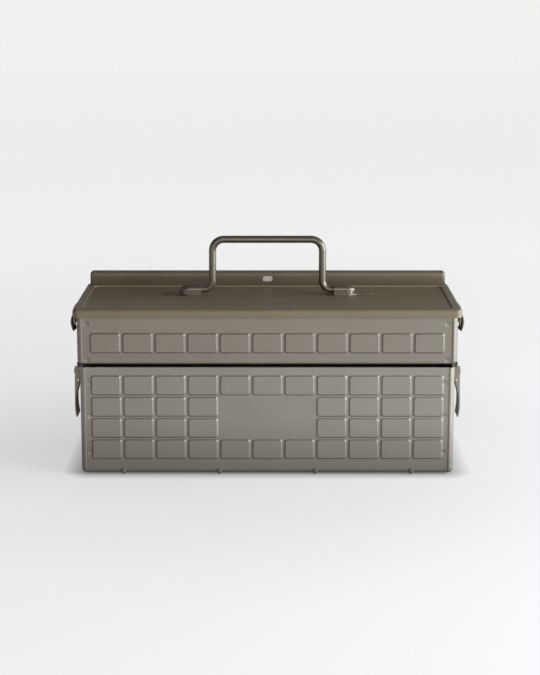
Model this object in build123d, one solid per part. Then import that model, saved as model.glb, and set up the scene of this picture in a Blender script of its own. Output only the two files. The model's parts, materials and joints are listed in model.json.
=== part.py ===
from build123d import *
import math
import os

# Cantilever tool box pressed from sheet steel, in millimetres.
# X runs to the right, Y to the back and Z up. The origin is on the floor, below the centre of the box.
# A lower box carries four arms. The arms carry an upper tray, which swings back and up, and the tray
# carries a hinged lid with a bail handle. A pull-down latch on each side closes the lid.

# Sheet and overall sizes
sheet = 1.0
overall_depth = 150.0
lid_width = 359.0
lid_side_gap = 2.8
lid_end_gap = 1.0
body_step = 2.0
body_front_step = 0.8
foot_height = 1.5
body_top = 103.0
deck_gap = 3.0
tray_height = 50.5
lid_headroom = 0.5
skirt_height = 8.0
lap_gap = 0.05
slack = 0.3

# Pressed end pans and hems
pan_flange = 14.0
pan_radius = 5.0
seam_inset = 5.2
hem_height = 6.0

# Pressed pads of the shells
pad_width = 28.0
pad_height = 19.0
pad_rise = 1.2
pad_corner = 1.9
pad_flank = 45.0
pad_columns = 11
pad_rows = 4
column_pitch = 29.9
row_pitch = 20.35
body_top_row = 86.0
tray_row = 126.1
plain_columns = 3
plain_rows = 2

# Foot ribs across the floor
rib_count = 4
rib_width = 9.0
rib_spread = 3
rib_top = 9.5

# Lid and rear rail
lid_corner = 6.0
recess_corner = 3.0
recess_wall = 0.6
lid_edge = 3.0
lid_border = 8.5
lid_front_border = 5.5
recess_depth = 0.8
rail_width = 350.6
rail_depth = 12.0
rail_height = 14.0
rail_edge = 3.0
rail_setback = 22.5
rail_lip = 1.5
rail_heel = 4.0
slot_width = 10.3
slot_height = 6.0
slot_rise = 6.6
slot_corner = 2.4

# Lid hinges
hinge_pin_radius = 1.25
hinge_fit = 0.07
knuckle_radius = 2.3
hinge_drop = 3.0
hinge_spread = 105.0
hinge_width = 40.0
hinge_leaf_height = 10.8
joggle_rise = 1.5

# Arms
arm_length = 62.2
arm_lean = 45.0
arm_pitch = 24.0
arm_width = 12.0
arm_thickness = 1.8
arm_setback = 41.0
arm_foot_z = 84.0
arm_gap = 0.5
arm_rivet_radius = 2.4
arm_rivet_head = 4.4
arm_fit = 0.08
head_thickness = 1.0
head_bevel = 1.2

# Handle and its brackets
rod_diameter = 7.0
handle_height = 214.5
handle_span = 105.4
handle_setback = 68.0
handle_corner = 11.0
handle_foot = 8.5
stub_end = 78.0
pivot_rise = 5.3
rod_fit = 0.1
boss_wall = 1.7
bracket_start = 63.8
bracket_tip = 100.0
bracket_half_width = 8.0
bracket_base = 1.6
bracket_shoulder = 2.0
bracket_neck_half = 3.6
bracket_tip_half = 1.2
bracket_shoulder_radius = 3.2

# Latches, placed from the side wall of the lower box outwards
latch_setback = 37.0
base_thickness = 1.2
base_width = 27.0
base_low = 69.0
base_high = 99.0
base_corner = 4.0
lever_pivot_out = 5.2
lever_pivot_z = 95.0
lever_rivet_radius = 1.1
lever_rivet_head = 0.7
lever_fit = 0.1
lever_width = 23.8
lever_plate = 1.0
lever_out_top = 6.9
lever_out_low = 8.2
lever_bend_z = 67.0
lever_tip_z = 58.0
lever_window = 14.4
lever_window_drop = 4.5
lever_tip_turn = 1.0
lever_dish = 0.3
lever_flange = 2.4
strap_pivot_out = 4.2
strap_pivot_drop = 9.0
strap_pin_radius = 1.0
strap_knuckle = 1.9
strap_width = 12.0
strap_thickness = 0.8
head_width = 26.0
head_top_z = 147.2
head_low_z = 136.0
head_out = 10.8
head_tip_out = 9.6
head_thick = 1.0
head_corner = 3.0
keeper_width = 22.0
keeper_low_z = 139.0
keeper_bead = 1.3
keeper_bead_z = 142.6
keeper_bead_radius = 2.1
keeper_bead_end = 2.0

# Places that follow from the sizes
front = -overall_depth / 2
back = overall_depth / 2
rail_front = back - rail_setback
arm_foot_y = back - arm_setback
handle_y = back - handle_setback
latch_y = front + latch_setback
hinge_y = back - knuckle_radius
lid_back = hinge_y - knuckle_radius
lid_half = lid_width / 2
tray_half = lid_half - sheet - lid_side_gap
body_half = tray_half - body_step
tray_front = front + sheet + lid_end_gap
tray_back = lid_back - sheet - lid_end_gap
body_front = tray_front + body_front_step
body_back = tray_back - body_front_step
body_floor = foot_height
tray_floor = body_top + deck_gap
tray_top = tray_floor + tray_height
lid_top = tray_top + lid_headroom + sheet
lid_low = lid_top - skirt_height
panel_z = lid_top - recess_depth
hinge_z = lid_low - hinge_drop
arm_in = tray_half + arm_gap
arm_out = arm_in + arm_thickness
handle_z = panel_z + pivot_rise
bend_radius = pan_radius + sheet + lap_gap


def box(x0, x1, y0, y1, z0, z1):
    """A block between two corners."""
    centre = ((x0 + x1) / 2, (y0 + y1) / 2, (z0 + z1) / 2)
    return Pos(*centre) * Box(x1 - x0, y1 - y0, z1 - z0)


def side_prism(outline, x0, x1):
    """A flat outline of (y, z) points, extruded along X."""
    face = make_face(Polyline(*[(0, y, z) for y, z in outline], close=True))
    return Pos(x0, 0, 0) * extrude(face, amount=x1 - x0, dir=(1, 0, 0))


def latch_prism(outline, y_centre, width):
    """A flat outline of (out, z) points beside the right wall, extruded along Y."""
    points = [(body_half + out, y_centre - width / 2, z) for out, z in outline]
    face = make_face(Polyline(*points, close=True))
    return extrude(face, amount=width, dir=(0, 1, 0))


def rod_x(radius, x0, x1, y, z):
    """A round bar along X."""
    return Pos((x0 + x1) / 2, y, z) * Rot(0, 90, 0) * Cylinder(radius, x1 - x0)


def rod_y(radius, y0, y1, x, z):
    """A round bar along Y."""
    return Pos(x, (y0 + y1) / 2, z) * Rot(90, 0, 0) * Cylinder(radius, y1 - y0)


def mirrored(part):
    """The same piece for the left side."""
    return mirror(part, about=Plane.YZ)


def channel(y0, y1, z0, z1, radius, half_width):
    """A solid block with its two lower long edges rounded."""
    block = box(-half_width, half_width, y0, y1, z0, z1)
    low_edges = block.edges().filter_by(Axis.X).group_by(Axis.Z)[0]
    return fillet(low_edges, radius)


def pad_solid():
    """One pressed pad, standing up from the XY plane with sloping flanks."""
    outline = Rectangle(pad_width, pad_height)
    outline = chamfer(outline.vertices(), pad_corner)
    return extrude(outline, amount=pad_rise, taper=pad_flank)


def pad_pocket():
    """The hollow behind one pad, drawn tighter than the pad by the sheet's thickness."""
    inset = sheet * math.tan(math.radians(pad_flank / 2))
    outline = Rectangle(pad_width - 2 * inset, pad_height - 2 * inset)
    return extrude(outline, amount=pad_rise, taper=pad_flank)


def pad_places(rows, top_row, plain):
    """Centres (x, z) of the pads, with an optional plain field in the middle."""
    places = []
    for row in range(rows):
        for column in range(pad_columns):
            middle = abs(column - (pad_columns - 1) / 2) < plain_columns / 2
            centre_row = abs(row - (rows - 1) / 2) < plain_rows / 2
            if plain and middle and centre_row:
                continue
            x = (column - (pad_columns - 1) / 2) * column_pitch
            places.append((x, top_row - row * row_pitch))
    return places


def press_pads(shell, y_front, y_back, rows, top_row, plain_front):
    """Raise the pads on the front and back walls and hollow them from inside."""
    pad = pad_solid()
    pocket = pad_pocket()
    pads = []
    pockets = []
    for x, z in pad_places(rows, top_row, plain_front):
        outer = Plane(origin=(x, y_front, z), x_dir=(1, 0, 0), z_dir=(0, -1, 0))
        inner = Plane(origin=(x, y_front + sheet, z), x_dir=(1, 0, 0), z_dir=(0, -1, 0))
        pads.append(outer * pad)
        pockets.append(inner * pocket)
    for x, z in pad_places(rows, top_row, False):
        outer = Plane(origin=(x, y_back, z), x_dir=(-1, 0, 0), z_dir=(0, 1, 0))
        inner = Plane(origin=(x, y_back - sheet, z), x_dir=(-1, 0, 0), z_dir=(0, 1, 0))
        pads.append(outer * pad)
        pockets.append(inner * pocket)
    return shell.fuse(*pads).cut(*pockets)


def folded_shell(half_width, y0, y1, z0, z1):
    """Front, floor and back folded from one sheet, with hemmed top edges."""
    outer = channel(y0, y1, z0, z1, bend_radius, half_width)
    inner = channel(y0 + sheet, y1 - sheet, z0 + sheet, z1 + sheet, bend_radius - sheet, half_width + sheet)
    shell = outer - inner
    hem_half = half_width + seam_inset - pan_flange - slack
    front_hem = box(-hem_half, hem_half, y0 + sheet, y0 + 2 * sheet, z1 - hem_height, z1)
    back_hem = box(-hem_half, hem_half, y1 - 2 * sheet, y1 - sheet, z1 - hem_height, z1)
    return shell.fuse(front_hem, back_hem)


def foot_ribs(shell, y0, y1):
    """Press ribs across the floor and a little way up the front and back."""
    top = rib_top - foot_height
    half = rib_width / 2
    floor = foot_height + sheet
    rib_radius = bend_radius + foot_height
    ribs = []
    grooves = []
    for index in range(rib_count):
        x = (index - (rib_count - 1) / 2) * rib_spread * column_pitch
        outer = channel(y0 - foot_height, y1 + foot_height, 0, rib_top, rib_radius, half)
        core = channel(y0 + sheet, y1 - sheet, floor, rib_top + sheet, bend_radius - sheet, half + sheet)
        rib = outer - core
        for side, wall in ((-1, y0), (1, y1)):
            out = wall + side * foot_height
            nose = [(wall, rib_top), (out, top), (out + side * foot_height, rib_top)]
            rib -= side_prism(nose, -half - sheet, half + sheet)
        ribs.append(Pos(x, 0, 0) * rib)
        edge = sheet - foot_height
        low = channel(y0 + edge, y1 - edge, sheet, top, rib_radius - sheet, half - sheet)
        grooves.append(Pos(x, 0, 0) * low)
    return shell.fuse(*ribs).cut(*grooves)


def end_pan(half_width, y0, y1, z0, z1):
    """Right-hand end wall with its rim turned inward, rounded outside, and a hemmed top."""
    low_y = y0 + sheet + lap_gap
    high_y = y1 - sheet - lap_gap
    low_z = z0 + sheet + lap_gap
    open_x = half_width - pan_flange

    def pressed(inset, finish, size):
        out = half_width - inset
        block = box(open_x - inset, out, low_y + inset, high_y - inset, low_z + inset, z1 + inset)
        low = block.edges().filter_by(Axis.X).group_by(Axis.Z)[0]
        side = block.faces().sort_by(Axis.X)[-1].edges().sort_by(Axis.Z)[:-1]
        return finish(low + side, size)

    pan = pressed(0, fillet, pan_radius) - pressed(sheet, chamfer, pan_radius / 2)
    hem_x = half_width - 2 * sheet
    hem = box(hem_x, hem_x + sheet, low_y + pan_radius, high_y - pan_radius, z1 - hem_height, z1)
    return pan + hem


def body_shell():
    half = body_half - seam_inset
    shell = folded_shell(half, body_front, body_back, body_floor, body_top)
    shell = press_pads(shell, body_front, body_back, pad_rows, body_top_row, True)
    return foot_ribs(shell, body_front, body_back)


def tray_shell():
    half = tray_half - seam_inset
    shell = folded_shell(half, tray_front, tray_back, tray_floor, tray_top)
    return press_pads(shell, tray_front, tray_back, 1, tray_row, False)


def arm_places():
    """Lower and upper pivot (y, z) of the front and the rear arm."""
    reach = arm_length * math.cos(math.radians(arm_lean))
    rise = arm_length * math.sin(math.radians(arm_lean))
    pairs = []
    for index in range(2):
        foot = (arm_foot_y + index * arm_pitch, arm_foot_z)
        pairs.append((foot, (foot[0] - reach, foot[1] + rise)))
    return pairs


def body_end():
    pan = end_pan(body_half, body_front, body_back, body_floor, body_top)
    for foot, head in arm_places():
        pan -= rod_x(arm_rivet_radius + lap_gap, body_half - 3 * sheet, body_half + sheet, *foot)
    return pan


def tray_end():
    pan = end_pan(tray_half, tray_front, tray_back, tray_floor, tray_top)
    for foot, head in arm_places():
        pan -= rod_x(arm_rivet_radius + lap_gap, tray_half - 3 * sheet, tray_half + sheet, *head)
    return pan


def arm(index):
    """Flat steel link with round ends and two rivet holes."""
    foot, head = arm_places()[index]
    middle = ((foot[0] + head[0]) / 2, (foot[1] + head[1]) / 2)
    strip = Plane.YZ * SlotCenterToCenter(arm_length, arm_width)
    strip = extrude(strip, amount=arm_thickness, dir=(1, 0, 0))
    link = Pos(arm_in, *middle) * Rot(-arm_lean, 0, 0) * strip
    for y, z in (foot, head):
        link -= rod_x(arm_rivet_radius + arm_fit, arm_in - 1, arm_out + 1, y, z)
    return link


def stepped_rivet(wall, y, z):
    """Rivet along X through the wall, with a conical head outside the arm."""
    head_x = arm_out + arm_fit
    shank = rod_x(arm_rivet_radius, wall - sheet, head_x, y, z)
    cone = Cone(arm_rivet_head, arm_rivet_head - head_bevel, head_thickness)
    head = Pos(head_x + head_thickness / 2, y, z) * Rot(0, 90, 0) * cone
    return shank.fuse(head)


def lower_arm_rivets():
    right = [stepped_rivet(body_half, *foot) for foot, head in arm_places()]
    return Compound(children=right + [mirrored(r) for r in right])


def upper_arm_rivets():
    right = [stepped_rivet(tray_half, *head) for foot, head in arm_places()]
    return Compound(children=right + [mirrored(r) for r in right])


def lid_panel():
    """Drawn lid: rounded skirt all round and a panel pressed down inside a border."""

    def drawn(inset, finish, size):
        half = lid_half - inset
        block = box(-half, half, front + inset, lid_back - inset, lid_low - inset, lid_top - inset)
        block = fillet(block.edges().filter_by(Axis.Z), lid_corner - inset)
        return finish(block.faces().sort_by(Axis.Z)[-1].edges(), size)

    lid = drawn(0, fillet, lid_edge) - drawn(sheet, chamfer, lid_edge / 2)
    y0 = front + lid_front_border
    y1 = rail_front - rail_lip - lap_gap
    width = lid_width - 2 * lid_border

    def field(grow, z):
        outline = Rectangle(width + 2 * grow, y1 - y0 + 2 * grow)
        outline = chamfer(outline.vertices(), recess_corner)
        return Pos(0, (y0 + y1) / 2, z) * extrude(outline, amount=sheet)

    return lid.fuse(field(recess_wall, panel_z - sheet)).cut(field(0, panel_z))


def rear_rail():
    """Closed pressed rail on a flat foot, with a slot in its front wall."""

    def raised(inset, finish, size):
        half = rail_width / 2 - inset
        y0 = rail_front + inset
        y1 = rail_front + rail_depth - inset
        block = box(-half, half, y0, y1, lid_top - inset, lid_top + rail_height - inset)
        return finish(block.faces().sort_by(Axis.Z)[-1].edges() + block.edges().filter_by(Axis.Z), size)

    half = rail_width / 2
    heel = rail_front + rail_depth + rail_heel
    foot = box(-half, half, rail_front - rail_lip, heel, lid_top, lid_top + sheet)
    rail = (raised(0, fillet, rail_edge) + foot) - raised(sheet, chamfer, rail_edge / 2)
    plane = Plane(origin=(0, rail_front - sheet, lid_top + slot_rise), x_dir=(1, 0, 0), z_dir=(0, 1, 0))
    slot = plane * RectangleRounded(slot_width, slot_height, slot_corner)
    return rail - extrude(slot, amount=3 * sheet)


def knuckle(x0, x1):
    ring = rod_x(knuckle_radius, x0, x1, hinge_y, hinge_z)
    return ring - rod_x(hinge_pin_radius + hinge_fit, x0 - 1, x1 + 1, hinge_y, hinge_z)


def hinge_bands():
    """Each hinge's x range: two outer bands for the tray and one middle band for the lid."""
    third = hinge_width / 3
    return (-hinge_width / 2, -third / 2 - slack, third / 2 + slack, hinge_width / 2)


def tray_hinge_leaf(x):
    """Leaf on the back of the tray, joggled out to two knuckles."""
    a, b, c, d = hinge_bands()
    low = hinge_z - hinge_leaf_height
    wall = tray_back
    out = hinge_y - knuckle_radius
    turn = hinge_z - knuckle_radius
    outline = [
        (wall, low),
        (wall + sheet, low),
        (wall + sheet, turn - joggle_rise),
        (out + sheet, turn),
        (out + sheet, hinge_z),
        (out, hinge_z),
        (out, turn + sheet / 2),
        (wall, turn + sheet / 2 - joggle_rise),
    ]
    leaf = side_prism(outline, a, d)
    leaf -= box(b, c, wall - 1, back, turn - slack, hinge_z + 1)
    leaf -= rod_x(knuckle_radius + slack, b, c, hinge_y, hinge_z)
    leaf -= rod_x(hinge_pin_radius + hinge_fit, a - 1, d + 1, hinge_y, hinge_z)
    leaf = leaf.fuse(knuckle(a, b), knuckle(c, d))
    return Pos(x, 0, 0) * leaf


def lid_hinge_leaf(x):
    """Leaf on the back of the lid's skirt, with the middle knuckle."""
    a, b, c, d = hinge_bands()
    b += 2 * slack
    c -= 2 * slack
    plate = box(a, d, lid_back, lid_back + sheet, lid_low + slack, lid_top - lid_edge)
    tongue = box(b, c, lid_back, lid_back + sheet, hinge_z, lid_low + 1)
    tongue -= rod_x(hinge_pin_radius + hinge_fit, b - 1, c + 1, hinge_y, hinge_z)
    leaf = plate.fuse(tongue, knuckle(b, c))
    return Pos(x, 0, 0) * leaf


def hinge_pin(x):
    half = hinge_width / 2 + sheet
    return rod_x(hinge_pin_radius, x - half, x + half, hinge_y, hinge_z)


def both_hinges(make):
    return Compound(children=[make(-hinge_spread), make(hinge_spread)])


def handle():
    """Round rod bent to a bail, with its two ends turned outward into the brackets."""
    leg = handle_span / 2
    top = handle_height - rod_diameter / 2
    points = [
        (-stub_end, handle_y, handle_z),
        (-leg, handle_y, handle_z),
        (-leg, handle_y, top),
        (leg, handle_y, top),
        (leg, handle_y, handle_z),
        (stub_end, handle_y, handle_z),
    ]
    path = FilletPolyline(*points, radius=[handle_foot, handle_corner, handle_corner, handle_foot])
    start = Plane(origin=points[0], z_dir=(1, 0, 0))
    return sweep(start * Circle(rod_diameter / 2), path=path)


def handle_bracket():
    """Drop-shaped bracket: flat foot with a pointed tail, and a boss closed by a dome."""
    boss = rod_diameter / 2 + boss_wall
    half = bracket_half_width
    neck = stub_end + boss
    outline = Polyline(
        (bracket_start, handle_y - half),
        (stub_end, handle_y - half),
        (neck + bracket_shoulder, handle_y - bracket_neck_half),
        (bracket_tip, handle_y - bracket_tip_half),
        (bracket_tip, handle_y + bracket_tip_half),
        (neck + bracket_shoulder, handle_y + bracket_neck_half),
        (stub_end, handle_y + half),
        (bracket_start, handle_y + half),
        close=True,
    )
    foot = extrude(make_face(outline), amount=bracket_base)
    upright = foot.edges().filter_by(Axis.Z).sort_by(Axis.X)
    foot = fillet(upright[2:-2], bracket_shoulder_radius)
    foot = fillet(foot.edges().filter_by(Axis.Z).sort_by(Axis.X)[-2:], bracket_tip_half - lap_gap)
    foot = Pos(0, 0, panel_z) * foot
    block = box(bracket_start, stub_end, handle_y - boss, handle_y + boss, panel_z, handle_z)
    barrel = rod_x(boss, bracket_start, stub_end, handle_y, handle_z)
    dome = Pos(stub_end, handle_y, handle_z) * Sphere(boss)
    drum = Pos(stub_end, handle_y, (panel_z + handle_z) / 2) * Cylinder(boss, handle_z - panel_z)
    above = box(bracket_start, bracket_tip, handle_y - half, handle_y + half, panel_z, handle_height)
    body = foot.fuse(block, barrel, drum, dome) & above
    return body - rod_x(rod_diameter / 2 + rod_fit, bracket_start - 1, stub_end + slack, handle_y, handle_z)


def lever_pivot_bar(radius, y0, y1):
    """A bar along the axis that the lever turns on."""
    return rod_y(radius, y0, y1, body_half + lever_pivot_out, lever_pivot_z)


def latch_base():
    """Plate on the side wall with two ears that carry the lever."""
    half = base_width / 2
    plate_out = body_half + base_thickness
    plate = box(body_half, plate_out, latch_y - half, latch_y + half, base_low, base_high)
    base = fillet(plate.edges().filter_by(Axis.X).group_by(Axis.Z)[0], base_corner)
    ear_in = lever_width / 2 + slack
    ear_radius = base_high - lever_pivot_z
    ear_low = lever_pivot_z - ear_radius
    for side in (-1, 1):
        y0, y1 = sorted((latch_y + side * ear_in, latch_y + side * half))
        web = box(body_half, body_half + lever_pivot_out, y0, y1, ear_low, base_high)
        base = base.fuse(web, lever_pivot_bar(ear_radius, y0, y1))
    base -= lever_pivot_bar(lever_rivet_radius + lap_gap, latch_y - base_width, latch_y + base_width)
    return base


def lever_rivets():
    """Short rivets through ear and lever, one at each end of the lever's top."""
    rivets = []
    for side in (-1, 1):
        inside = latch_y + side * (lever_width / 2 - 2 * lever_plate + slack)
        outside = latch_y + side * (base_width / 2)
        low, high = sorted((inside, outside))
        shank = lever_pivot_bar(lever_rivet_radius, low, high)
        low, high = sorted((outside, outside + side * lever_rivet_head))
        rivets.append(shank + lever_pivot_bar(2 * lever_rivet_radius, low, high))
    return Compound(children=rivets + [mirrored(r) for r in rivets])


def latch_lever():
    """Pressed lever: sloping plate with a dished tip, side flanges and a notch for the strap."""
    top = base_high - slack
    plate = lever_plate
    out_top = lever_out_top
    out_low = lever_out_low
    tip_out = out_low - lever_tip_turn
    low = lever_bend_z
    tip = lever_tip_z
    middle = (low + tip) / 2
    inner_tip = (tip_out - plate, tip + lever_dish)
    top_line = Line((out_top, top), (out_low, low))
    tip_arc = ThreePointArc((out_low, low), (out_low - lever_dish / 3, middle), (tip_out, tip))
    end_line = Line((tip_out, tip), inner_tip)
    inner_arc = ThreePointArc(inner_tip, (out_low - plate - lever_dish, middle), (out_low - plate, low))
    inner_line = Line((out_low - plate, low), (out_top - plate, top))
    close_line = Line((out_top - plate, top), (out_top, top))
    flat = make_face(Curve() + [top_line, tip_arc, end_line, inner_arc, inner_line, close_line])
    side = Plane(origin=(body_half, latch_y + lever_width / 2, 0), x_dir=(1, 0, 0), z_dir=(0, -1, 0))
    lever = extrude(side * flat, amount=lever_width)
    strap_pivot_z = lever_pivot_z - strap_pivot_drop
    flange_line = [
        (out_top - plate / 2, top - plate / 2),
        (lever_pivot_out - plate, top - plate / 2),
        (lever_pivot_out - lever_flange, lever_pivot_z),
        (strap_pivot_out - lever_flange + plate / 2, strap_pivot_z),
        (strap_pivot_out - plate, strap_pivot_z - lever_flange),
        (out_top, base_low + base_corner),
    ]
    for sign in (-1, 1):
        y = latch_y + sign * (lever_width - plate) / 2
        lever += latch_prism(flange_line, y, plate)
    notch_low = strap_pivot_z - lever_window_drop
    half_window = lever_window / 2
    beyond = body_half + out_top + plate
    lever -= box(body_half, beyond, latch_y - half_window, latch_y + half_window, notch_low, top + 1)
    lever -= lever_pivot_bar(lever_rivet_radius + lever_fit, latch_y - lever_width, latch_y + lever_width)
    return lever - strap_pin_bar(lap_gap)


def strap_pin_bar(grow):
    """The pin between lever and strap, or its hole when grown."""
    half = lever_width / 2 + (sheet if grow else 0)
    z = lever_pivot_z - strap_pivot_drop
    return rod_y(strap_pin_radius + grow, latch_y - half, latch_y + half, body_half + strap_pivot_out, z)


def latch_strap():
    """Narrow strap rolled round its pin, rising past the tray to a wide curved head."""
    pin_z = lever_pivot_z - strap_pivot_drop
    inside = strap_pivot_out - strap_knuckle
    outside = inside + strap_thickness
    low_y = latch_y - strap_width / 2
    high_y = latch_y + strap_width / 2
    foot = rod_y(strap_knuckle, low_y, high_y, body_half + strap_pivot_out, pin_z)
    bar_line = [(inside, pin_z), (outside, pin_z), (outside, head_low_z), (inside, head_low_z)]
    bar = latch_prism(bar_line, latch_y, strap_width)
    shelf_out = head_tip_out - strap_thickness / 2
    shelf = latch_prism(
        [
            (inside, head_low_z - strap_thickness),
            (shelf_out, head_low_z - strap_thickness / 2),
            (shelf_out, head_low_z + strap_thickness / 2),
            (inside, head_low_z),
        ],
        latch_y,
        strap_width,
    )
    middle = (head_top_z + head_low_z) / 2
    tip_in = head_tip_out - head_thick
    outer = ThreePointArc((head_tip_out, head_top_z), (head_out, middle), (head_tip_out, head_low_z))
    inner = ThreePointArc((tip_in, head_low_z), (head_out - head_thick, middle), (tip_in, head_top_z))
    low = Line((head_tip_out, head_low_z), (tip_in, head_low_z))
    high = Line((tip_in, head_top_z), (head_tip_out, head_top_z))
    face = make_face(Curve() + [outer, low, inner, high])
    side = Plane(origin=(body_half, latch_y + head_width / 2, 0), x_dir=(1, 0, 0), z_dir=(0, -1, 0))
    head = extrude(side * face, amount=head_width)
    head = fillet(head.edges().filter_by(Axis.X), head_corner)
    strap = bar.fuse(foot, shelf, head)
    hole = rod_y(strap_pin_radius + hinge_fit, low_y - 1, high_y + 1, body_half + strap_pivot_out, pin_z)
    return strap - hole


def latch_keeper():
    """Plate spot-welded to the lid's skirt, hanging below it with a pressed bead."""
    start = lid_half - body_half
    plate_out = start + base_thickness
    low_y = latch_y - keeper_width / 2
    high_y = latch_y + keeper_width / 2
    plate = box(body_half + start, body_half + plate_out, low_y, high_y, keeper_low_z, lid_top - lid_edge)
    bead_x = body_half + plate_out + keeper_bead - keeper_bead_radius
    bead_low = low_y + keeper_bead_end
    bead = rod_y(keeper_bead_radius, bead_low, high_y - keeper_bead_end, bead_x, keeper_bead_z)
    bead_out = body_half + plate_out + keeper_bead + slack
    outside = box(body_half + start, bead_out, low_y, high_y, keeper_low_z, head_top_z)
    return plate + (bead & outside)


def parts():
    """Every piece by name."""
    pieces = {
        "body_shell": body_shell(),
        "tray_shell": tray_shell(),
        "lower_arm_rivets": lower_arm_rivets(),
        "upper_arm_rivets": upper_arm_rivets(),
        "lid_panel": lid_panel(),
        "rear_rail": rear_rail(),
        "tray_hinge_leaves": both_hinges(tray_hinge_leaf),
        "lid_hinge_leaves": both_hinges(lid_hinge_leaf),
        "hinge_pins": both_hinges(hinge_pin),
        "handle": handle(),
        "lever_rivets": lever_rivets(),
    }
    sided = {
        "body_end": body_end(),
        "tray_end": tray_end(),
        "arm_front": arm(0),
        "arm_rear": arm(1),
        "handle_bracket": handle_bracket(),
        "latch_base": latch_base(),
        "latch_lever": latch_lever(),
        "strap_pin": strap_pin_bar(0),
        "latch_strap": latch_strap(),
        "latch_keeper": latch_keeper(),
    }
    for name, right in sided.items():
        pieces[name + "_right"] = right
        pieces[name + "_left"] = mirrored(right)
    return pieces


os.makedirs("parts", exist_ok=True)
for name, piece in parts().items():
    export_step(piece, f"parts/{name}.step")
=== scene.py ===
import bmesh
import bpy
import json
import math
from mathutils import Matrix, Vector

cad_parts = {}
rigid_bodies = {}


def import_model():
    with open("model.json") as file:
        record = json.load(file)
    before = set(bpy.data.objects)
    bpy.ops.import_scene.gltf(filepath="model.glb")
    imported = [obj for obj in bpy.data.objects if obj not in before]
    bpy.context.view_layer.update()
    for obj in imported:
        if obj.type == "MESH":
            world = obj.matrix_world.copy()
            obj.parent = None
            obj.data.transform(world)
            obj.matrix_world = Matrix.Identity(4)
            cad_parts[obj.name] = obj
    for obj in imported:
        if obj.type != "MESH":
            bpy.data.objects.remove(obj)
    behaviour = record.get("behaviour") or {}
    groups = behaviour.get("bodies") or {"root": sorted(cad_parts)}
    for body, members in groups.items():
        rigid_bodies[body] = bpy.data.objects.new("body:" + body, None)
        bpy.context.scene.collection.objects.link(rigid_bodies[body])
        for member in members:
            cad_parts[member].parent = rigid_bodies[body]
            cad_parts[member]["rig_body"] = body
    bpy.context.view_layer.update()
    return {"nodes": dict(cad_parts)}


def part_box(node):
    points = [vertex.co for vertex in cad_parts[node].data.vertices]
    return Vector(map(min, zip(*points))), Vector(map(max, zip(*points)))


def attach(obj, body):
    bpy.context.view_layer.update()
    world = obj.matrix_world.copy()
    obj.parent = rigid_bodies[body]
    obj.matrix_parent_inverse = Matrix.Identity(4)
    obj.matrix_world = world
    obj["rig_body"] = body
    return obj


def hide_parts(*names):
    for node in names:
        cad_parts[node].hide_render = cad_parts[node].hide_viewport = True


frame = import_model()
nodes = frame["nodes"]
bpy.context.scene.view_settings.view_transform = "Standard"

# The camera stands in front of the box and a little above it, with a long lens.
# Its place and lens come from the edges of the box in the picture.
focal_length = 93.0
sensor_long_side = 36.0
camera_place = (0.005, -1.6464, 0.4527)
camera_pitch = math.radians(11.54)
camera_turn = math.radians(0.09)
camera_data = bpy.data.cameras.new("camera")
camera_data.lens = focal_length
camera_data.sensor_width = sensor_long_side
camera = bpy.data.objects.new("camera", camera_data)
camera.location = camera_place
camera.rotation_euler = (math.pi / 2 - camera_pitch, 0, camera_turn)
bpy.context.scene.collection.objects.link(camera)
bpy.context.scene.camera = camera

# The floor is one very large sheet of matt paper, with no wall behind it. A glow that shows only to
# the camera and in reflections makes it evenly pale. Painted shade in that glow makes it a touch darker
# near the box, and darkest close round the foot of the box.
floor_size = 120.0
paper_colour = (0.25, 0.25, 0.252, 1)
paper_near = (0.57, 0.57, 0.577, 1)
paper_front = (0.685, 0.685, 0.688, 1)
paper_middle = (0.80, 0.80, 0.80, 1)
paper_far = (0.845, 0.845, 0.835, 1)
paper_tones = ((0.01, paper_near), (0.03, paper_front), (0.1, paper_middle), (0.7, paper_far))
paper_reach = 14.0
footprint = (0.165, 0.059, 0)
contact_reach = 0.028
painted_contact_shade = (0.05, 0.048, 0.045, 1)
black = (0, 0, 0, 1)
white = (1, 1, 1, 1)

# Outputs that are asked for by number: the kinds of ray, the object's own coordinates, a direction
# in the world and the sharpness of an edge.
camera_ray, glossy_ray, clear_ray = 0, 3, 6
own_place = 3
world_way = 0
edge_sharpness = 7


class Socket:
    """A shader socket that numbers and other sockets can be added to, taken from or multiplied by."""

    def __init__(self, tree, link):
        self.tree = tree
        self.link = link

    def maths(self, operation, first, second):
        return node(self.tree, "ShaderNodeMath", {"operation": operation}, {0: first, 1: second})[0]

    def __add__(self, other):
        return self.maths("ADD", self, other)

    def __radd__(self, other):
        return self.maths("ADD", other, self)

    def __sub__(self, other):
        return self.maths("SUBTRACT", self, other)

    def __rsub__(self, other):
        return self.maths("SUBTRACT", other, self)

    def __mul__(self, other):
        return self.maths("MULTIPLY", self, other)

    def __rmul__(self, other):
        return self.maths("MULTIPLY", other, self)

    def __truediv__(self, other):
        return self.maths("DIVIDE", self, other)

    def __rtruediv__(self, other):
        return self.maths("DIVIDE", other, self)


def node(tree, kind, settings=None, values=None):
    """Add a node: its settings first, then the values or links of its sockets."""
    made = tree.nodes.new(kind)
    halfway = 0.5
    for key, value in (settings or {}).items():
        if key == "stops":
            elements = made.color_ramp.elements
            while len(elements) < len(value):
                elements.new(halfway)
            for element, (place, colour) in zip(elements, value):
                element.position = place
                element.color = colour
        else:
            setattr(made, key, value)
    for key, value in (values or {}).items():
        if isinstance(value, Socket):
            tree.links.new(value.link, made.inputs[key])
        else:
            made.inputs[key].default_value = value
    return [Socket(tree, output) for output in made.outputs]


def empty_tree(block):
    """Clear a material's or the world's nodes and hand back its tree."""
    block.use_nodes = True
    block.node_tree.nodes.clear()
    return block.node_tree


def mix(tree, factor, first, second):
    """Blend two colours."""
    return node(tree, "ShaderNodeMix", {"data_type": "RGBA"}, {0: factor, 6: first, 7: second})[2]


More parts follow.
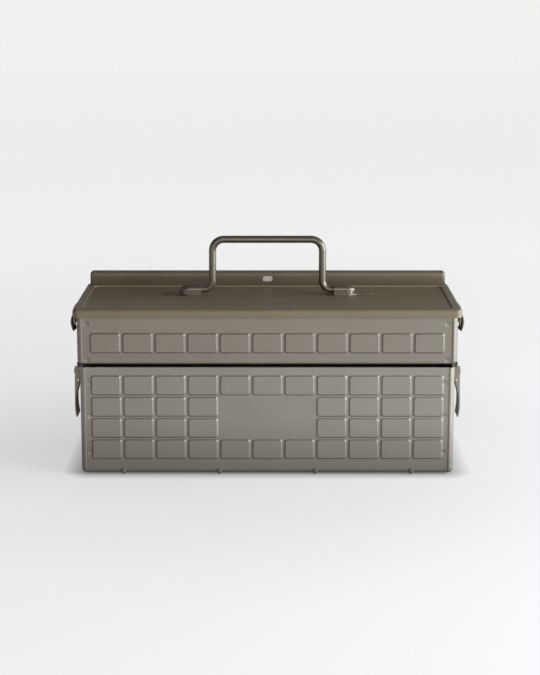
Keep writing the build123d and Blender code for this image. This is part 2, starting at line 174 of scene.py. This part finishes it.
def ramp(tree, factor, *stops):
    """Turn a number into a colour, by two or more stops."""
    return node(tree, "ShaderNodeValToRGB", {"stops": stops}, {0: factor})[0]


def vectors(tree, operation, *parts):
    """Work on vectors. A length is a number, and it leaves the node by its second output."""
    made = node(tree, "ShaderNodeVectorMath", {"operation": operation}, dict(enumerate(parts)))
    return made[1] if operation == "LENGTH" else made[0]


def seen(tree):
    """One for what the camera sees straight, in a gloss or through clear material, and else nought."""
    rays = node(tree, "ShaderNodeLightPath")
    return rays[camera_ray] + rays[glossy_ray] + rays[clear_ray]


paper = bpy.data.materials.new("white_paper")
tree = empty_tree(paper)
spot = node(tree, "ShaderNodeTexCoord")[own_place]
# Painted shade: the glow's tones grow darker towards the box.
tone = ramp(tree, vectors(tree, "LENGTH", spot) / paper_reach, *paper_tones)
# Painted contact shade: the glow fades to a near black close round the box's footprint.
past_foot = vectors(tree, "SUBTRACT", vectors(tree, "ABSOLUTE", spot), footprint)
past_foot = vectors(tree, "MAXIMUM", past_foot, (0, 0, 0))
away = vectors(tree, "LENGTH", past_foot) / contact_reach
tone = mix(tree, ramp(tree, away, (0, black), (1, white)), painted_contact_shade, tone)
matt = node(tree, "ShaderNodeBsdfDiffuse", {}, {"Color": paper_colour})[0]
glow = node(tree, "ShaderNodeEmission", {}, {"Color": tone, "Strength": seen(tree)})[0]
both = node(tree, "ShaderNodeAddShader", {}, {0: matt, 1: glow})[0]
node(tree, "ShaderNodeOutputMaterial", {}, {"Surface": both})
bpy.ops.object.select_all(action="DESELECT")
bpy.ops.mesh.primitive_plane_add(size=floor_size, location=(0, 0, 0))
floor = bpy.context.object
floor.name = "floor"
floor.data.materials.append(paper)

# Soft light: a big low window on the right, a weaker one in front, and a dim warm room. Where the
# room is seen, it is pale at the horizon and fades to its dim colour higher up.
room_fill = (0.15, 0.137, 0.118, 1)
room_seen = (0.885, 0.885, 0.88, 1)
pale_climb = 0.16
dim_climb = 0.26
box_middle = Vector((0, 0, 0.09))
world = bpy.data.worlds.new("room")
bpy.context.scene.world = world
tree = empty_tree(world)
way = node(tree, "ShaderNodeTexCoord")[world_way]
climb = node(tree, "ShaderNodeSeparateXYZ", {}, {0: way})[2]
walls = ramp(tree, climb, (pale_climb, room_seen), (dim_climb, room_fill))
room = mix(tree, seen(tree), room_fill, walls)
sky = node(tree, "ShaderNodeBackground", {}, {"Color": room, "Strength": 1.0})[0]
node(tree, "ShaderNodeOutputWorld", {}, {"Surface": sky})


def window(name, place, width, height, power, colour):
    """One area light that faces the middle of the box."""
    light = bpy.data.lights.new(name, "AREA")
    light.shape = "RECTANGLE"
    light.size = width
    light.size_y = height
    light.energy = power
    light.color = colour
    lamp = bpy.data.objects.new(name, light)
    lamp.location = place
    lamp.rotation_euler = (box_middle - Vector(place)).to_track_quat("-Z", "Y").to_euler()
    bpy.context.scene.collection.objects.link(lamp)


window("window_right", (1.3, -0.44, 0.3), width=1.5, height=1.1, power=63, colour=(0.85, 0.94, 1))
window("room_front", (0.25, -2.4, 0.6), width=1.6, height=1.0, power=14.5, colour=(1, 0.955, 0.885))

# Lower box: one sheet of 1 mm steel folded into a trough with round bends. Rows of pads are pressed
# out of its front and back, its top edges are turned in to a hem, and it stands on four pressed ribs.
sheet = 0.001
bend_radius = 0.004
bend_steps = 8
column_pitch = 0.0299
row_pitch = 0.02035
pad_columns = 11
pad_foot = (0.0286, 0.0196)
pad_corner = 0.0029
pad_corner_steps = 5

# A pressed profile goes in by the first number of each step, and out by the second.
pad_profile = (
    (0.0002, 0.00004),
    (0.0003, 0.00018),
    (0.00035, 0.00038),
    (0.00035, 0.00038),
    (0.0003, 0.00018),
    (0.0002, 0.00004),
)
pad_rise = 0.0012
hem_height = 0.006
hem_fold = 0.0021
hem_inset = 0.0091
seam_lap = 0.0008
rib_count = 4
rib_pitch = 0.0897
rib_half = 0.0023
rib_profile = ((0.0005, 0.00025), (0.0006, 0.0009), (0.0004, 0.00035))
rib_height = 0.0015
rib_top = 0.0072
rib_margin = 0.0006
press_edge = 0.0003
body_rows = 4
body_top_row = 0.086
plain_field = (3, 2)
bevel_angle = math.radians(34)
smooth_angle = math.radians(32)

# Two places that are this close count as one.
nearly = 0.00002

# The paint: metal flakes, slow clouds and fine specks of tone, worn edges, painted shade that darkens
# it towards the foot, the grain of the surface, and dents where the sheets are spot-welded.
satin = 0.5
satin_swing = 0.1
noise_middle = 0.5
flake = 0.65
specular = 0.1
cloud_scale, cloud_detail, cloud_share = 9, 3, 0.4
speck_scale, speck_detail, speck_rough, speck_share = 1400, 2, 0.6, 0.6
tone_low, tone_high, tone_swing = 0.36, 0.64, 0.07
worn_low, worn_high, worn_share = 0.53, 0.66, 0.5
thin_gain, thin_lift = 1.18, 0.012
foot_shade = 0.6
foot_shade_height = 0.055
grain_scale, grain_detail, grain_share = 750, 2, 0.65
fine_scale, fine_detail, fine_share = 2400, 1, 0.35
grain_depth = 0.0001
grain_strength = 0.4
weld_radius = 0.003
weld_flat = 0.35
weld_depth = 14.0
weld_line = 0.1645
body_weld_heights = (0.0222, 0.0570, 0.0880)
body_colour = (0.252, 0.23, 0.198)


def tint(colour, gain, lift=0.0):
    """A colour made darker or paler, with an alpha of one."""
    return tuple(min(1, gain * part + lift) for part in colour) + (1,)


def noise(tree, spot, scale, detail, rough=0.5):
    """Cloudy noise in the coordinates that are given."""
    values = {"Vector": spot, "Scale": scale, "Detail": detail, "Roughness": rough}
    return node(tree, "ShaderNodeTexNoise", {}, values)[0]


def powder_coat(name, colour, roughness, welds=(), metal=flake):
    """Powder coat on steel. Each weld is a place from the middle and a height."""
    coat = bpy.data.materials.new(name)
    tree = empty_tree(coat)
    spot = node(tree, "ShaderNodeTexCoord")[own_place]
    axes = node(tree, "ShaderNodeSeparateXYZ", {}, {0: spot})
    cloud = noise(tree, spot, cloud_scale, cloud_detail)
    speck = noise(tree, spot, speck_scale, speck_detail, speck_rough)
    dark = (tone_low, tint(colour, 1 - tone_swing))
    pale = (tone_high, tint(colour, 1 + tone_swing))
    tone = ramp(tree, cloud * cloud_share + speck * speck_share, dark, pale)
    sharp = node(tree, "ShaderNodeNewGeometry")[edge_sharpness]
    worn = ramp(tree, sharp, (worn_low, black), (worn_high, white)) * worn_share
    tone = mix(tree, worn, tone, tint(colour, thin_gain, thin_lift))
    # Painted shade: the paint grows darker towards the bottom of the box.
    clear_of_foot_shade = ramp(tree, axes[2] / foot_shade_height, (0, black), (1, white))
    tone = mix(tree, clear_of_foot_shade, tint(colour, foot_shade), tone)
    grain = noise(tree, spot, grain_scale, grain_detail)
    fine_grain = noise(tree, spot, fine_scale, fine_detail)
    height = grain * grain_share + fine_grain * fine_share
    for weld_x, weld_z in welds:
        out = node(tree, "ShaderNodeMath", {"operation": "ABSOLUTE"}, {0: axes[0]})[0]
        offset = node(tree, "ShaderNodeCombineXYZ", {}, {0: out - weld_x, 2: axes[2] - weld_z})[0]
        away = vectors(tree, "LENGTH", offset) / weld_radius
        height = height + ramp(tree, away, (weld_flat, black), (1, white)) * weld_depth
    values = {"Strength": grain_strength, "Distance": grain_depth, "Height": height}
    bump = node(tree, "ShaderNodeBump", {}, values)[0]
    values = {
        "Base Color": tone,
        "Roughness": roughness + (speck - noise_middle) * satin_swing,
        "Metallic": metal,
        "Specular IOR Level": specular,
        "Normal": bump,
    }
    surface = node(tree, "ShaderNodeBsdfPrincipled", {}, values)[0]
    node(tree, "ShaderNodeOutputMaterial", {}, {"Surface": surface})
    return coat


def pick(kind, test):
    """Select only those faces or edges of the piece in hand whose corners all pass the test."""
    bpy.ops.mesh.select_mode(type=kind)
    bpy.ops.mesh.select_all(action="DESELECT")
    mesh = bmesh.from_edit_mesh(bpy.context.object.data)
    for item in mesh.faces if kind == "FACE" else mesh.edges:
        if all(test(corner.co) for corner in item.verts):
            item.select_set(True)
    bmesh.update_edit_mesh(bpy.context.object.data)


def pull(x=0.0, y=0.0, z=0.0):
    """Draw out the selected edges or faces."""
    bpy.ops.mesh.extrude_region_move(TRANSFORM_OT_translate={"value": (x, y, z)})


def hold(piece):
    """Make one piece the only selected and active one."""
    bpy.ops.object.select_all(action="DESELECT")
    piece.select_set(True)
    bpy.context.view_layer.objects.active = piece


def finish_with(piece, kind, **settings):
    """Add one modifier and apply it."""
    hold(piece)
    step = piece.modifiers.new("step", kind)
    for key, value in settings.items():
        setattr(step, key, value)
    bpy.ops.object.modifier_apply(modifier="step")


def soften(piece, width):
    """Round the pressed or cut edges a little and shade the curves smooth."""
    finish_with(piece, "BEVEL", width=width, segments=2, limit_method="ANGLE", angle_limit=bevel_angle)
    bpy.ops.object.shade_smooth_by_angle(angle=smooth_angle)
    finish_with(piece, "WEIGHTED_NORMAL", keep_sharp=True)


def dress(piece, cad_name, paint):
    """Paint a piece and let it stand for its node in the frame."""
    piece.data.materials.clear()
    piece.data.materials.append(paint)
    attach(piece, nodes[cad_name]["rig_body"])
    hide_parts(cad_name)


def upright_plane(width, height):
    """A flat upright sheet that faces the front."""
    bpy.ops.object.select_all(action="DESELECT")
    bpy.ops.mesh.primitive_plane_add(size=1, rotation=(math.pi / 2, 0, 0))
    plane = bpy.context.object
    plane.scale = (width, height, 1)
    bpy.ops.object.transform_apply(location=True, rotation=True, scale=True)
    return plane


def pad_tile():
    """One pressed pad facing the front, with the flat sheet round it."""
    tile = upright_plane(*pad_foot)
    bpy.ops.object.mode_set(mode="EDIT")
    bpy.ops.mesh.bevel(offset=pad_corner, segments=pad_corner_steps, affect="VERTICES")
    bpy.ops.mesh.select_all(action="SELECT")
    for step_in, step_out in pad_profile:
        bpy.ops.mesh.inset(thickness=step_in, depth=step_out)
    bpy.ops.object.mode_set(mode="OBJECT")
    upright_plane(column_pitch, row_pitch)
    bpy.ops.object.mode_set(mode="EDIT")
    bpy.ops.mesh.delete(type="ONLY_FACE")
    bpy.ops.object.mode_set(mode="OBJECT")
    tile.select_set(True)
    bpy.context.view_layer.objects.active = tile
    bpy.ops.object.join()
    bpy.ops.object.mode_set(mode="EDIT")
    bpy.ops.mesh.select_mode(type="EDGE")
    bpy.ops.mesh.select_all(action="DESELECT")
    bpy.ops.mesh.select_non_manifold()
    bpy.ops.mesh.fill()
    bpy.ops.object.mode_set(mode="OBJECT")
    return tile


def pad_panel(rows, plain):
    """A field of pressed pads facing the front, its middle on the origin. A plain field is left flat."""
    panel = pad_tile()
    bpy.ops.object.mode_set(mode="EDIT")
    bpy.ops.mesh.select_all(action="SELECT")
    middle = ((1 - pad_columns) / 2 * column_pitch, 0, (1 - rows) / 2 * row_pitch)
    bpy.ops.transform.translate(value=middle)
    bpy.ops.object.mode_set(mode="OBJECT")
    joined = {"use_relative_offset": False, "use_constant_offset": True, "use_merge_vertices": True}
    joined["merge_threshold"] = nearly
    finish_with(panel, "ARRAY", count=pad_columns, constant_offset_displace=(column_pitch, 0, 0), **joined)
    finish_with(panel, "ARRAY", count=rows, constant_offset_displace=(0, 0, row_pitch), **joined)
    if plain:
        half_x = plain[0] / 2 * column_pitch + nearly
        half_z = plain[1] / 2 * row_pitch + nearly
        bpy.ops.object.mode_set(mode="EDIT")
        pick("FACE", lambda c: abs(c.x) < half_x and abs(c.z) < half_z)
        bpy.ops.mesh.delete(type="FACE")
        pick("EDGE", lambda c: abs(c.x) < half_x and abs(c.z) < half_z)
        bpy.ops.mesh.edge_face_add()
        bpy.ops.object.mode_set(mode="OBJECT")
    return panel


def padded_wall(rows, top_row, plain, ribs, half, rim_top, bend_z, wall_y, back):
    """One padded wall with its hem and the strip down to the bend, set in its place."""
    centre_z = top_row - (rows - 1) / 2 * row_pitch
    rim_z = centre_z + rows / 2 * row_pitch
    foot_z = centre_z - rows / 2 * row_pitch
    side_x = pad_columns / 2 * column_pitch
    hem_half = half - hem_inset
    wall = pad_panel(rows, plain)
    bpy.ops.object.mode_set(mode="EDIT")
    bpy.ops.mesh.select_all(action="SELECT")
    bpy.ops.transform.translate(value=(0, 0, centre_z))
    for side in (-1, 1):
        pick("EDGE", lambda c: side * c.x > side_x - nearly)
        pull(x=side * (half + seam_lap - side_x))
    pick("EDGE", lambda c: c.z > rim_z - nearly)
    pull(z=rim_top - rim_z)
    for side in (-1, 1):
        pick("FACE", lambda c: c.z > rim_z - nearly)
        bpy.ops.mesh.bisect(plane_co=(side * hem_half, 0, 0), plane_no=(1, 0, 0))
    pick("EDGE", lambda c: c.z > rim_top - nearly and abs(c.x) < hem_half + nearly)
    pull(y=hem_fold)
    pull(z=-hem_height)
    pick("EDGE", lambda c: c.z < foot_z + nearly and abs(c.y) < nearly)
    if ribs:
        pull(z=rib_top + rib_margin - foot_z)
        pull(z=-rib_margin)
        pull(z=bend_z - rib_top)
    else:
        pull(z=bend_z - foot_z)
    bpy.ops.mesh.select_all(action="SELECT")
    if back:
        bpy.ops.transform.mirror(constraint_axis=(False, True, False), center_override=(0, 0, 0))
        bpy.ops.mesh.flip_normals()
    bpy.ops.transform.translate(value=(0, wall_y, 0))
    bpy.ops.object.mode_set(mode="OBJECT")
    return wall


def press_ribs():
    """Press the foot ribs of the sheet in hand across its floor and up to the rib line."""
    for index in range(rib_count):
        rib_x = (index - (rib_count - 1) / 2) * rib_pitch
        for edge in (-1, 1):
            pick("FACE", lambda c: c.z < rib_top + nearly)
            place = (rib_x + edge * rib_half, 0, 0)
            bpy.ops.mesh.bisect(plane_co=place, plane_no=(1, 0, 0))
    for index in range(rib_count):
        rib_x = (index - (rib_count - 1) / 2) * rib_pitch
        pick("FACE", lambda c: c.z < rib_top + nearly and abs(c.x - rib_x) < rib_half + nearly)
        for step_in, step_out in rib_profile:
            bpy.ops.mesh.inset(thickness=step_in, depth=step_out, use_even_offset=True)


def folded_shell(name, cad_name, rows, top_row, plain=None, ribs=False, bend=bend_radius):
    """Both padded walls and the floor between them, folded from one sheet."""
    low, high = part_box(cad_name)
    shift = rib_height if ribs else pad_rise
    front_y, back_y = low.y + shift, high.y - shift
    bend_z = low.z + bend + (rib_height if ribs else 0)
    shell = padded_wall(rows, top_row, plain, ribs, high.x, high.z, bend_z, front_y, back=False)
    back_wall = padded_wall(rows, top_row, None, ribs, high.x, high.z, bend_z, back_y, back=True)
    hold(shell)
    bpy.ops.object.mode_set(mode="EDIT")
    pick("EDGE", lambda c: c.z < bend_z + nearly)
    turn = {"steps": bend_steps, "angle": -math.pi / 2, "axis": (1, 0, 0)}
    bpy.ops.mesh.spin(center=(0, front_y + bend, bend_z), **turn)
    pull(y=back_y - front_y - 2 * bend)
    bpy.ops.mesh.spin(center=(0, back_y - bend, bend_z), **turn)
    bpy.ops.object.mode_set(mode="OBJECT")
    back_wall.select_set(True)
    bpy.ops.object.join()
    bpy.ops.object.mode_set(mode="EDIT")
    bpy.ops.mesh.select_all(action="SELECT")
    bpy.ops.mesh.remove_doubles(threshold=nearly / 2)
    bpy.ops.mesh.normals_make_consistent(inside=False)
    if ribs:
        press_ribs()
    bpy.ops.object.mode_set(mode="OBJECT")
    shell.name = name
    finish_with(shell, "SOLIDIFY", thickness=sheet, offset=-1, use_even_offset=True)
    soften(shell, press_edge)
    return shell


body_welds = [(weld_line, height) for height in body_weld_heights]
body_paint = powder_coat("body_paint", body_colour, satin, body_welds)
plain_paint = powder_coat("plain_paint", body_colour, satin)
body_sheet = folded_shell("body_sheet", "body_shell", body_rows, body_top_row, plain_field, ribs=True)
dress(body_sheet, "body_shell", body_paint)

# End pans of the lower box: drawn from the same steel with a wide round edge, hemmed at the top,
# lapped over the ends of the trough and spot-welded to it.
cut_edge = 0.00025
pan_round = 0.005
pan_seam = 0.0052
pan_lap = 0.0021
pan_drop = 0.0012
seam_slope = 0.001
seam_dip = 0.0005
outer_skin = sheet / 3
merge_distance = nearly / 10
flat_angle = math.radians(1)


def pressed_piece(cad_name, paint, width=cut_edge, shape=None, cuts=()):
    """A stamped piece with the frame's shape, its edges rounded as a press and the paint leave them.
    Where a shape is given, the piece is first divided at the cuts, then drawn further into shape."""
    source = nodes[cad_name]
    piece = source.copy()
    piece.data = source.data.copy()
    piece.name = cad_name + "_finished"
    bpy.context.scene.collection.objects.link(piece)
    hold(piece)
    bpy.ops.object.mode_set(mode="EDIT")
    bpy.ops.mesh.select_all(action="SELECT")
    bpy.ops.mesh.remove_doubles(threshold=merge_distance)
    bpy.ops.mesh.customdata_custom_splitnormals_clear()
    bpy.ops.mesh.dissolve_limited(angle_limit=flat_angle)
    for axis, place in cuts:
        across = tuple(float(index == "xyz".index(axis)) for index in range(3))
        bpy.ops.mesh.select_all(action="SELECT")
        bpy.ops.mesh.bisect(plane_co=tuple(place * share for share in across), plane_no=across)
    bpy.ops.object.mode_set(mode="OBJECT")
    if shape:
        for corner in piece.data.vertices:
            corner.co = shape(corner.co)
    soften(piece, width)
    dress(piece, cad_name, paint)


def lap_over(cad_name, tighter=0.0):
    """Draw a pan's rim out over the trough, trim it at the seam, where its edge slopes down to the
    trough, and make the lower corners tighter."""
    low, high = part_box(cad_name)
    side = 1 if high.x > 0 else -1
    outer = side * max(abs(low.x), abs(high.x))
    middle_z = low.z + pan_round

    def shape(place):
        x, y, z = place
        if abs(x - outer) > pan_round + pan_seam:
            x = outer - side * pan_seam
        dip = seam_dip * max(0.0, (abs(x - outer) - pan_seam) / seam_slope + 1)
        for wall, way in ((low.y, -1), (high.y, 1)):
            middle_y = wall - way * pan_round
            outside = abs(y - wall) < outer_skin
            if way * (y - middle_y) > 0 and z < middle_z:
                off_y, off_z = y - middle_y, z - middle_z
                share = math.hypot(off_y, off_z) / pan_round
                outside = share > 1 - outer_skin / pan_round
                y += tighter * (way * share - off_y / pan_round)
                z -= tighter * (share + off_z / pan_round)
            if way * (place[1] - middle_y) > -nearly:
                y += way * (pan_lap - (dip if outside else 0.0))
        if place[2] < middle_z + nearly:
            z += (dip if abs(place[2] - low.z) < outer_skin else 0.0) - pan_drop
        return Vector((x, y, z))

    return shape


def seam_cut(cad_name):
    """Where a pan's edge begins to slope."""
    low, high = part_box(cad_name)
    outer = max(abs(low.x), abs(high.x)) - pan_seam + seam_slope
    return [("x", outer if high.x > 0 else -outer)]


for side in ("left", "right"):
    name = "body_end_" + side
    pressed_piece(name, plain_paint, shape=lap_over(name), cuts=seam_cut(name))

# Latch plates: stamped steel with two ears, spot-welded to the end pans. Short headed rivets
# through the ears carry the levers.
fitting_colour = (0.222, 0.198, 0.165)
fitting_paint = powder_coat("fitting_paint", fitting_colour, roughness=0.48)
rivet_paint = powder_coat("rivet_paint", fitting_colour, roughness=0.46)
turned_edge = 0.0002
side_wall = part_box("body_end_right")[1].x
ear_axis = 0.0052
ear_trim = 0.6


def trimmed_ear(place):
    """Bring the round end of an ear closer to the rivet."""
    x, y, z = place
    out = abs(x) - side_wall
    if out > ear_axis:
        x = math.copysign(side_wall + ear_axis + ear_trim * (out - ear_axis), x)
    return Vector((x, y, z))


for side in ("left", "right"):
    pressed_piece("latch_base_" + side, fitting_paint, shape=trimmed_ear)
pressed_piece("lever_rivets", rivet_paint, turned_edge)

# Cantilever arms: flat steel links with round ends, painted, two on each side. They turn on
# shouldered rivets with bevelled heads, four in the lower box and four in the tray.
for side in ("left", "right"):
    for place in ("front", "rear"):
        pressed_piece("arm_" + place + "_" + side, fitting_paint)
pressed_piece("lower_arm_rivets", rivet_paint)
pressed_piece("upper_arm_rivets", rivet_paint)

# Upper tray: a trough like the lower box with one row of pads front and back and tighter bends,
# and two end pans. It stands a little further out at its ends, so its welds do too.
# The tray's paint is a little darker than the body's: painted shade under the lid.
tray_colour = (0.216, 0.194, 0.165)
tray_top_row = 0.1261
tray_bend = 0.0025
tray_weld_line = weld_line + 0.002
tray_weld_heights = (0.1100, 0.1440)
pan_tighter = 0.0015
tray_welds = [(tray_weld_line, height) for height in tray_weld_heights]
tray_paint = powder_coat("tray_paint", tray_colour, satin, tray_welds)
plain_tray_paint = powder_coat("plain_tray_paint", tray_colour, satin)
tray_sheet = folded_shell("tray_sheet", "tray_shell", 1, tray_top_row, bend=tray_bend)
dress(tray_sheet, "tray_shell", tray_paint)
for side in ("left", "right"):
    name = "tray_end_" + side
    tight_lap = lap_over(name, pan_tighter)
    pressed_piece(name, plain_tray_paint, shape=tight_lap, cuts=seam_cut(name))

# Lid hinges: rolled leaves on the back of tray and lid, turning on plated steel pins. The plating
# has fine lines along the pins.
plated_colour = (0.5, 0.49, 0.47)
line_stretch = (1, 12, 12)
line_scale = 300.0
line_detail = 2.0
line_depth = 0.00005
line_strength = 0.2
dull_zinc = (0.3, tint(plated_colour, 0.75))
pale_zinc = (0.7, tint(plated_colour, 1.2))
zinc_roughness = 0.28
zinc_swing = 0.14


def zinc_plate(name):
    """Bright plated steel."""
    coat = bpy.data.materials.new(name)
    tree = empty_tree(coat)
    spot = node(tree, "ShaderNodeTexCoord")[own_place]
    drawn = node(tree, "ShaderNodeMapping", {}, {"Vector": spot, "Scale": line_stretch})[0]
    lines = noise(tree, drawn, line_scale, line_detail)
    tone = ramp(tree, lines, dull_zinc, pale_zinc)
    values = {"Strength": line_strength, "Distance": line_depth, "Height": lines}
    bump = node(tree, "ShaderNodeBump", {}, values)[0]
    roughness = zinc_roughness + lines * zinc_swing
    values = {"Base Color": tone, "Metallic": 1.0, "Roughness": roughness, "Normal": bump}
    surface = node(tree, "ShaderNodeBsdfPrincipled", {}, values)[0]
    node(tree, "ShaderNodeOutputMaterial", {}, {"Surface": surface})
    return coat


plated = zinc_plate("plated_steel")
pressed_piece("tray_hinge_leaves", fitting_paint)
pressed_piece("lid_hinge_leaves", fitting_paint)
pressed_piece("hinge_pins", plated, turned_edge)

# Lid: one drawn panel with rounded corners, a skirt all round and a field pressed a little down.
# The keepers of the latches are welded to its skirt.
# The lid's paint is darker and warmer than the body's: painted shade for its top, which faces up.
lid_colour = (0.196, 0.165, 0.113)
lid_flake = 0.38
lid_paint = powder_coat("lid_paint", lid_colour, satin, metal=lid_flake)
pressed_piece("lid_panel", lid_paint)
for side in ("left", "right"):
    pressed_piece("latch_keeper_" + side, fitting_paint)

# Rear rail: a closed rail with rounded edges, pressed from one sheet and spot-welded along the back
# of the lid. A pale plate stands inside it, behind the slot.
rail_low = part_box("rear_rail")[0]
rail_lip = 0.0015
rail_face = rail_low.y + rail_lip
rail_wall = 1.6 * sheet
rail_foot = rail_low.z + sheet
rail_swell = 0.009
rail_tuck = 0.0024
rail_curl = 1.5
rail_cut_shares = (0.05, 0.25, 0.45, 0.65, 0.85, 1.0)
# The rail's paint is darker still than the lid's: painted shade.
rail_colour = (0.15, 0.128, 0.09)
rail_paint = powder_coat("rail_paint", rail_colour, satin, metal=lid_flake)


def swelled_face(place):
    """Tuck the foot of the rail's front wall in, so that the wall swells out to its rounded top."""
    x, y, z = place
    if y < rail_face + rail_wall and rail_foot + nearly < z < rail_foot + rail_swell:
        y += rail_tuck * (1 - (z - rail_foot) / rail_swell) ** rail_curl
    return Vector((x, y, z))


rail_cuts = [("z", rail_foot + share * rail_swell) for share in rail_cut_shares]
pressed_piece("rear_rail", rail_paint, shape=swelled_face, cuts=rail_cuts)
plate_gap = 0.0064
plate_rise = 0.0066
plate_size = (0.022, 0.0008, 0.011)
bpy.ops.object.select_all(action="DESELECT")
bpy.ops.mesh.primitive_cube_add(size=1, location=(0, rail_face + plate_gap, rail_low.z + plate_rise))
slot_plate = bpy.context.object
slot_plate.name = "slot_plate"
slot_plate.scale = plate_size
bpy.ops.object.transform_apply(location=True, rotation=True, scale=True)
soften(slot_plate, turned_edge)
slot_plate.data.materials.append(plated)
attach(slot_plate, nodes["rear_rail"]["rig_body"])

# Handle: a 7 mm round steel rod bent to a bail. Its two ends turn outward into drop-shaped brackets,
# each pressed from sheet and welded to the lid.
handle_colour = (0.13, 0.114, 0.09)
handle_paint = powder_coat("handle_paint", handle_colour, roughness=0.28)
bracket_low, bracket_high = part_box("handle_bracket_right")
bracket_y = (bracket_low.y + bracket_high.y) / 2
bracket_base = 0.0016
bracket_foot = bracket_low.z + bracket_base
stub_end = 0.078
boss_round = 0.0053
boss_end = stub_end + boss_round
dome_start = 0.075
dome_end = 0.0846
dome_cut_pitch = 0.001
dome_cut_count = 3
blunt_tip = 0.003
bracket_edge = 0.0003


def drawn_dome(place):
    """Draw the closed end of the boss out to a longer dome that blends into the foot."""
    x, y, z = place
    out = abs(x)
    if out > dome_start and z > bracket_foot + nearly and out < boss_end + nearly:
        share = (out - dome_start) / (boss_end - dome_start)
        now = math.sqrt(max(blunt_tip, 1 - max(0.0, (out - stub_end) / boss_round) ** 2))
        wanted = math.sqrt(max(blunt_tip, 1 - share * share))
        ratio = min(1.0, wanted / now)
        y = bracket_y + ratio * (y - bracket_y)
        z = bracket_foot + ratio * (z - bracket_foot)
        x = math.copysign(dome_start + share * (dome_end - dome_start), x)
    return Vector((x, y, z))


for side, way in (("left", -1), ("right", 1)):
    cuts = [("x", way * (dome_start + step * dome_cut_pitch)) for step in range(dome_cut_count)]
    name = "handle_bracket_" + side
    pressed_piece(name, handle_paint, bracket_edge, drawn_dome, cuts)
pressed_piece("handle", handle_paint)

# Latches: a pressed lever on each side pulls a strap down over the keeper. The strap is rolled
# round a plated pin in the lever.
lever_bend = 0.084
lever_tip = 0.058
lever_stretch = 0.008
lever_tuck = 0.001
head_tuck = 0.001
head_inside = 0.0045
lip_inside = 0.0078
lip_top = 0.1395
lip_drop = 0.0035
lip_tuck = 0.0008


def longer_lever(place):
    """Draw the lower half of the lever down, and in towards the box."""
    x, y, z = place
    share = (lever_bend - z) / (lever_bend - lever_tip)
    if share > 0:
        x = math.copysign(abs(x) - lever_tuck * share, x)
        z -= lever_stretch * share
    return Vector((x, y, z))


def lipped_head(place):
    """Draw the strap's head closer to the keeper and its lower edge down to a lip."""
    x, y, z = place
    out = abs(x) - side_wall
    if out > lip_inside and z < lip_top:
        share = min(1, (lip_top - z) / lip_drop)
        z -= lip_drop * share
        out -= lip_tuck * share
    if out > head_inside and z > lever_bend + lip_drop:
        out -= head_tuck
    return Vector((math.copysign(side_wall + out, x), y, z))


for side in ("left", "right"):
    pressed_piece("latch_lever_" + side, fitting_paint, shape=longer_lever)
    pressed_piece("strap_pin_" + side, plated, turned_edge)
    pressed_piece("latch_strap_" + side, fitting_paint, shape=lipped_head)
